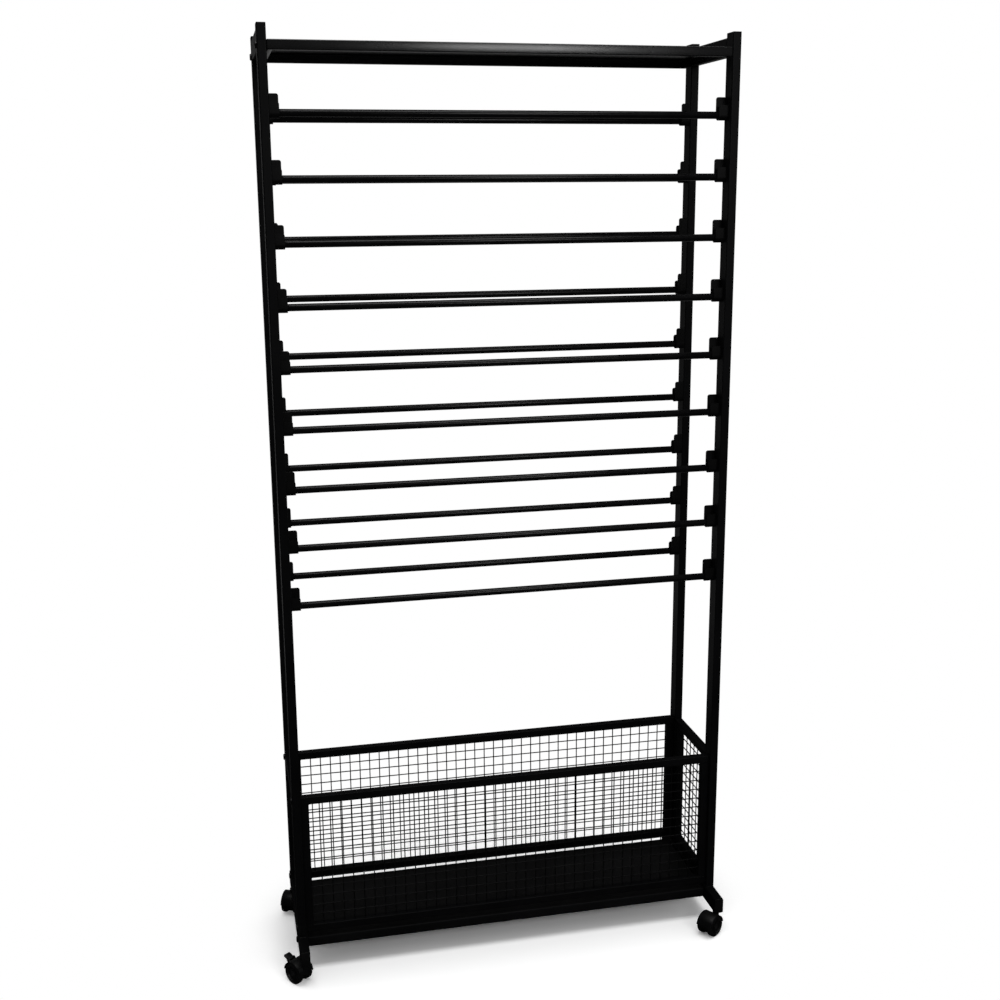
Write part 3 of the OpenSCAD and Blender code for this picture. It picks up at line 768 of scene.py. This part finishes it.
def caster_hood(braked):
    """Hood on the swivel axis, with the wheels trailing towards +Y."""
    hood = round_bar(FENDER_R, CASTER_W, axle, FENDER_SIDES)
    pick(hood, "FACE", lambda corners: True)
    bpy.ops.mesh.bisect(
        plane_co=(0, 0, WHEEL_R + FENDER_EDGE), plane_no=(0, 0, 1), use_fill=True, clear_inner=True)
    close_edit()
    pocket = CASTER_W / 2 - BOSS_R
    for sign in (-1, 1):
        centre = axle + Vector((sign * (BOSS_R + pocket / 2 + HOOD_EDGE), 0, 0))
        room = round_bar(FENDER_R - FENDER_T, pocket + 2 * HOOD_EDGE, centre, FENDER_SIDES)
        combine(hood, room, "DIFFERENCE")
    combine(hood, round_bar(WEB_R, 2 * BOSS_R - 2 * TINY, axle, WEB_SIDES), "UNION")
    boss_h = HOOD_TOP - WHEEL_R
    boss = round_bar(BOSS_R, boss_h, (0, 0, WHEEL_R + boss_h / 2), BOSS_SIDES, "Z")
    combine(hood, boss, "UNION")
    if braked:
        for sign in (-1, 1):
            combine(hood, brake_ear(sign * EAR_X), "UNION")
    round_edges(hood, HOOD_EDGE)
    bore_h = HOOD_TOP - STEM_TIP
    bore = round_bar(STEM_BORE_R, 2 * bore_h, (0, 0, STEM_TIP + bore_h), BOSS_SIDES, "Z")
    combine(hood, bore, "DIFFERENCE")
    if braked:
        combine(hood, round_bar(PIVOT_R, CASTER_W, pivot, PIVOT_SIDES), "DIFFERENCE")
    return hood


for corner in CORNERS:
    hood = copies(caster_hood(corner in BRAKED), [at_caster(corner)])[0]
    fit(hood, f"hood_{corner}", f"caster_{corner}", [f"caster_hood_{corner}"],
        hood_plastic)

# Caster wheels: twin moulded wheels on each axle, with a rounded tread, a dished outer face, a ring
# round the axle's head and six low ribs.
WHEEL_W = 0.0095
TREAD_ROUND = 0.0015
DISH_R = 0.0151
DISH_DEPTH = 0.0025
RING_R = 0.0076
RING_H = 0.0012
HEAD_POCKET_R = 0.0056
BORE_R = 0.00305
RIBS = 6
RIB_H = 0.0009
WHEEL_SIDES = 48
WHEEL_SHADES = [(0.0016, 0.0016, 0.0017), (0.0036, 0.0036, 0.0037)]
wheel_plastic = grained_finish(
    "wheel_plastic", WHEEL_SHADES, roughness=(0.34, 0.5), peel=(1200.0, 0.00004),
    patch_scale=90.0, specular=0.2)


def wheel():
    """Wheel along X, centred, with its dished face towards +X."""
    half = WHEEL_W / 2
    disc = round_bar(WHEEL_R, WHEEL_W, (0, 0, 0), WHEEL_SIDES)
    pick(disc, "FACE", lambda corners: len(corners) > 4)
    bpy.ops.mesh.bevel(offset=TREAD_ROUND, segments=4)
    pick(disc, "FACE", lambda corners: len(corners) > 4 and all(c.x > half - TINY for c in corners))
    bpy.ops.mesh.inset(thickness=WHEEL_R - TREAD_ROUND - DISH_R)
    push(-DISH_DEPTH, 0, 0)
    floor_r = DISH_R - DISH_DEPTH / 2
    taper = floor_r / DISH_R
    bpy.ops.transform.resize(value=(1, taper, taper), center_override=(0, 0, 0))
    bpy.ops.mesh.inset(thickness=floor_r - RING_R)
    push(RING_H, 0, 0)
    bpy.ops.mesh.inset(thickness=RING_R - HEAD_POCKET_R)
    push(-RING_H, 0, 0)
    bpy.ops.mesh.inset(thickness=HEAD_POCKET_R - BORE_R)
    pick(disc, "FACE", lambda corners: len(corners) > 4 and all(c.x < TINY - half for c in corners))
    bpy.ops.mesh.inset(thickness=WHEEL_R - TREAD_ROUND - BORE_R)
    pick(disc, "FACE", lambda corners: len(corners) > 4)
    bpy.ops.mesh.bridge_edge_loops()
    close_edit()

    def on_rib(corners):
        middle = sum(corners, Vector()) / len(corners)
        radius = math.hypot(middle.y, middle.z)
        turn = math.atan2(middle.z, middle.y) / math.tau * WHEEL_SIDES
        on_floor = all(abs(c.x - half + DISH_DEPTH) < TINY for c in corners)
        return on_floor and radius > RING_R and math.floor(turn) % (WHEEL_SIDES // RIBS) == 0

    pick(disc, "FACE", on_rib)
    push(RIB_H, 0, 0)
    close_edit()
    return disc


wheel_x = CASTER_W / 2 - WHEEL_W / 2
for corner in CORNERS:
    place = at_caster(corner) @ Matrix.Translation(axle)
    pair = [
        place @ Matrix.Translation((wheel_x, 0, 0)),
        place @ Matrix.Translation((-wheel_x, 0, 0)) @ Matrix.Rotation(math.pi, 4, "Z"),
    ]
    twins = join(copies(wheel(), pair))
    fit(twins, f"twin_wheels_{corner}", f"wheels_{corner}", [f"caster_wheels_{corner}"],
        wheel_plastic)

# Brake levers: a moulded lever between the ears of two hoods, on its own trunnions, with a wide pad
# that has three grip ridges across it.
LEVER_W = 0.011
LEVER_R = 0.003
TRUNNION_R = 0.0015
TRUNNION_LEN = 0.0166
ARM_W = 0.009
ARM_START = 0.001
PAD_W = 0.015
PAD_START = 0.0038
TAB_LEN = 0.014
TAB_T = 0.0024
TAB_OVER = 0.0018
TAB_RISE = math.radians(20)
PAD_CORNER = 0.0025
RIDGES = 3
RIDGE_LEN = 0.0108
RIDGE_W = 0.0012
RIDGE_LEAD = 0.75
RIDGE_H = 0.0005
LEVER_EDGE = 0.0004
LEVER_SIDES = 28
TRUNNION_SIDES = 16


def brake_lever():
    """Lever along +Y from its pivot at the origin, at its rest tilt."""
    pad_len = TAB_LEN - PAD_START
    mid_z = TAB_OVER - TAB_T / 2
    pad = block((PAD_W, pad_len, TAB_T), (0, PAD_START + pad_len / 2, mid_z))
    pick(pad, "EDGE", lambda ends: abs(ends[0].z - ends[1].z) > TAB_T / 2
         and ends[0].y > PAD_START + TINY)
    bpy.ops.mesh.bevel(offset=PAD_CORNER, segments=4)
    close_edit()
    arm_len = PAD_START + pad_len / 2 - ARM_START
    arm = block((ARM_W, arm_len, TAB_T - 4 * TINY), (0, ARM_START + arm_len / 2, mid_z))
    combine(pad, arm, "UNION")
    step = (pad_len - PAD_CORNER) / RIDGES
    for ridge in range(RIDGES):
        y = PAD_START + (ridge + RIDGE_LEAD) * step
        bar = block((RIDGE_LEN, RIDGE_W, TAB_T), (0, y, mid_z + RIDGE_H))
        combine(pad, bar, "UNION")
    pad.data.transform(Matrix.Rotation(TAB_RISE, 4, "X"))
    combine(pad, round_bar(LEVER_R, LEVER_W, (0, 0, 0), LEVER_SIDES), "UNION")
    round_edges(pad, LEVER_EDGE)
    combine(pad, round_bar(TRUNNION_R, TRUNNION_LEN, (0, 0, 0), TRUNNION_SIDES), "UNION")
    return pad


for corner in BRAKED:
    lever = copies(brake_lever(), [at_caster(corner) @ Matrix.Translation(pivot)])[0]
    fit(lever, f"lever_{corner}", f"brake_{corner}", [f"brake_lever_{corner}"],
        hood_plastic)

# Studio: a pale floor, a white surround and soft lamps. The rack mirrors a dimmed white, and that
# only from straight behind and from the far floor, and near black from the other sides. The camera
# stands in front of the left upright and looks a little down.
CAMERA_PLACE = (-0.53335, -2.42155, 1.47392)
CAMERA_YAW, CAMERA_PITCH, CAMERA_ROLL = 12.5441, -13.2072, 0.4134
PICTURE_WIDTH = 1000
FOCAL_PIXELS = 1312.93
SENSOR = 36.0
FLOOR_SIZE = 14.0
FLOOR_SHADE, FLOOR_WHITE = 0.8, 1.3
FILL = 0.5
FRONT_GLOSS, BACK_GLOSS = 0.02, 0.3
FLOOR_FADE = (0.6, 2.5)
SHADOW_REACH = (0.43, 0.38, 1.0)
SHADOW_FADE = (0.95, 1.3)
SKY_FADE = (0.93, 1.0)

bpy.ops.object.select_all(action="DESELECT")
bpy.ops.object.camera_add()
camera = bpy.context.object
camera.name = "photo_camera"
camera.data.sensor_width = SENSOR
camera.data.lens = SENSOR * FOCAL_PIXELS / PICTURE_WIDTH
camera.matrix_world = (
    Matrix.Translation(CAMERA_PLACE)
    @ Matrix.Rotation(math.radians(-CAMERA_YAW), 4, "Z")
    @ Matrix.Rotation(math.radians(CAMERA_PITCH), 4, "X")
    @ Matrix.Rotation(math.radians(CAMERA_ROLL), 4, "Y")
    @ Matrix.Rotation(math.pi / 2, 4, "X")
)
bpy.context.scene.camera = camera

bpy.ops.mesh.primitive_plane_add(size=FLOOR_SIZE)
floor = bpy.context.object
floor.name = "studio_floor"
paper = bpy.data.materials.new("floor_paper")
paper.use_nodes = True
paper_tree = paper.node_tree
paper_tree.nodes.remove(paper_tree.nodes["Principled BSDF"])
seen_by = paper_tree.nodes.new("ShaderNodeLightPath")
to_camera = paper_tree.nodes.new("ShaderNodeMix")
to_camera.inputs["A"].default_value = FLOOR_SHADE
to_camera.inputs["B"].default_value = FLOOR_WHITE
to_gloss = paper_tree.nodes.new("ShaderNodeMix")
spot = paper_tree.nodes.new("ShaderNodeTexCoord")
spot_axes = paper_tree.nodes.new("ShaderNodeSeparateXYZ")
floor_fade = paper_tree.nodes.new("ShaderNodeMapRange")
floor_fade.inputs["From Min"].default_value = FLOOR_FADE[0]
floor_fade.inputs["From Max"].default_value = FLOOR_FADE[1]
floor_fade.inputs["To Min"].default_value = FRONT_GLOSS
floor_fade.inputs["To Max"].default_value = BACK_GLOSS
matt = paper_tree.nodes.new("ShaderNodeBsdfDiffuse")
reach = paper_tree.nodes.new("ShaderNodeVectorMath")
reach.operation = "DIVIDE"
reach.inputs[1].default_value = SHADOW_REACH
distance = paper_tree.nodes.new("ShaderNodeVectorMath")
distance.operation = "LENGTH"
far = paper_tree.nodes.new("ShaderNodeMapRange")
far.interpolation_type = "SMOOTHSTEP"
far.inputs["From Min"].default_value = SHADOW_FADE[0]
far.inputs["From Max"].default_value = SHADOW_FADE[1]
seen_far = paper_tree.nodes.new("ShaderNodeMath")
seen_far.operation = "MULTIPLY"
white = paper_tree.nodes.new("ShaderNodeEmission")
blend = paper_tree.nodes.new("ShaderNodeMixShader")
paper_links = paper_tree.links
paper_links.new(seen_by.outputs["Is Camera Ray"], to_camera.inputs["Factor"])
paper_links.new(seen_by.outputs["Is Glossy Ray"], to_gloss.inputs["Factor"])
paper_links.new(spot.outputs["Object"], spot_axes.inputs["Vector"])
paper_links.new(spot_axes.outputs["Y"], floor_fade.inputs["Value"])
paper_links.new(to_camera.outputs["Result"], to_gloss.inputs["A"])
paper_links.new(floor_fade.outputs["Result"], to_gloss.inputs["B"])
paper_links.new(to_gloss.outputs["Result"], matt.inputs["Color"])
paper_links.new(spot.outputs["Object"], reach.inputs[0])
paper_links.new(reach.outputs["Vector"], distance.inputs[0])
paper_links.new(distance.outputs["Value"], far.inputs["Value"])
paper_links.new(far.outputs["Result"], seen_far.inputs[0])
paper_links.new(seen_by.outputs["Is Camera Ray"], seen_far.inputs[1])
paper_links.new(seen_far.outputs["Value"], blend.inputs["Fac"])
paper_links.new(matt.outputs["BSDF"], blend.inputs[1])
paper_links.new(white.outputs["Emission"], blend.inputs[2])
paper_links.new(blend.outputs["Shader"], paper_tree.nodes["Material Output"].inputs["Surface"])
floor.data.materials.append(paper)


def softbox(name, place, aim, size, power):
    """Rectangular area lamp that faces a point."""
    bpy.ops.object.light_add(type="AREA", location=place)
    lamp = bpy.context.object
    lamp.name = name
    lamp.rotation_euler = (Vector(aim) - Vector(place)).to_track_quat("-Z", "Y").to_euler()
    lamp.data.shape = "RECTANGLE"
    lamp.data.size, lamp.data.size_y = size
    lamp.data.energy = power


softbox("top_softbox", place=(0.0, -0.4, 3.6), aim=(0.0, 0.0, 0.0), size=(2.4, 2.0), power=70.0)
softbox("front_softbox", place=(0.78, -3.2, 2.1), aim=(0.1, 0.0, 1.2), size=(1.0, 0.7), power=22.0)

world = bpy.data.worlds.new("studio_surround")
bpy.context.scene.world = world
world.use_nodes = True
tree = world.node_tree
sky = tree.nodes["Background"]
path = tree.nodes.new("ShaderNodeLightPath")
way = tree.nodes.new("ShaderNodeTexCoord")
axes = tree.nodes.new("ShaderNodeSeparateXYZ")
fade = tree.nodes.new("ShaderNodeMapRange")
fade.inputs["From Min"].default_value = SKY_FADE[0]
fade.inputs["From Max"].default_value = SKY_FADE[1]
fade.inputs["To Min"].default_value = FRONT_GLOSS
fade.inputs["To Max"].default_value = BACK_GLOSS
not_direct = tree.nodes.new("ShaderNodeMath")
not_direct.operation = "MAXIMUM"
by_gloss = tree.nodes.new("ShaderNodeMix")
by_gloss.inputs["A"].default_value = FILL
by_camera = tree.nodes.new("ShaderNodeMix")
by_camera.inputs["B"].default_value = 1.0
links = tree.links
links.new(way.outputs["Generated"], axes.inputs["Vector"])
links.new(axes.outputs["Y"], fade.inputs["Value"])
links.new(path.outputs["Is Glossy Ray"], not_direct.inputs[0])
links.new(path.outputs["Is Transmission Ray"], not_direct.inputs[1])
links.new(not_direct.outputs["Value"], by_gloss.inputs["Factor"])
links.new(fade.outputs["Result"], by_gloss.inputs["B"])
links.new(path.outputs["Is Camera Ray"], by_camera.inputs["Factor"])
links.new(by_gloss.outputs["Result"], by_camera.inputs["A"])
links.new(by_camera.outputs["Result"], sky.inputs["Strength"])
sky.inputs["Color"].default_value = (1.0, 1.0, 1.0, 1.0)
bpy.context.scene.view_settings.view_transform = "Standard"
